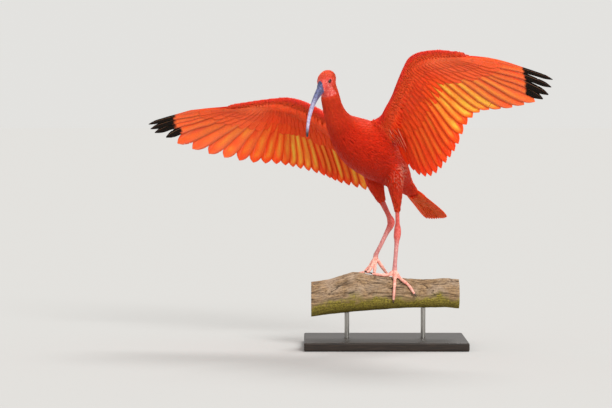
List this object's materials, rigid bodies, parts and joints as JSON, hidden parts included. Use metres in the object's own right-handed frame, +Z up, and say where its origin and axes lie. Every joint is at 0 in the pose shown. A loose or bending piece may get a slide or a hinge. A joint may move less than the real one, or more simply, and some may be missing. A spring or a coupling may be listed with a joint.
{
  "type": "scarlet ibis",
  "caption": "Life-size scarlet ibis with both wings spread, gripping a short cut branch that is held over a flat display base.",
  "frame": {"origin": "middle of the underside of the stand's base, straight under the crest of the branch between the feet", "axes": "+Z up; the bird looks along -Y, its left wing is on +X and its right wing on -X"},
  "size_m": [0.8933, 0.4661, 0.6185],
  "materials": {
    "red_coat": "soft matte body feathers",
    "red_vane": "satin flight feathers, scarlet with black tips on the outer four of each wing",
    "bare_face": "bare pinkish-red skin with red down on the crown",
    "leg_skin": "scaled pink-red skin",
    "bill_horn": "blue-grey horn, semi-gloss",
    "claw_horn": "dark horn",
    "eye": "wet gloss",
    "weathered_branch": "weathered bark with moss on the underside",
    "stand_base": "plain dark satin",
    "stand_rod": "brushed"
  },
  "bodies": {
    "root": {"torso": "red_coat", "neck": "red_coat", "head": "bare_face", "bill_upper": "bill_horn", "bill_lower": "bill_horn", "eye_left": "eye", "eye_right": "eye", "wing_left": "red_vane", "wing_right": "red_vane", "tail": "red_vane", "thigh_left": "red_coat", "thigh_right": "red_coat", "shank_left": "leg_skin", "shank_right": "leg_skin", "foot_left": "leg_skin", "foot_right": "leg_skin", "claw_left_inner": "claw_horn", "claw_left_middle": "claw_horn", "claw_left_outer": "claw_horn", "claw_left_hind": "claw_horn", "claw_right_inner": "claw_horn", "claw_right_middle": "claw_horn", "claw_right_outer": "claw_horn", "claw_right_hind": "claw_horn", "perch": "weathered_branch", "stand_base": "stand_base", "stand_rod_1": "stand_rod", "stand_rod_2": "stand_rod"}
  },
  "joints": []
}
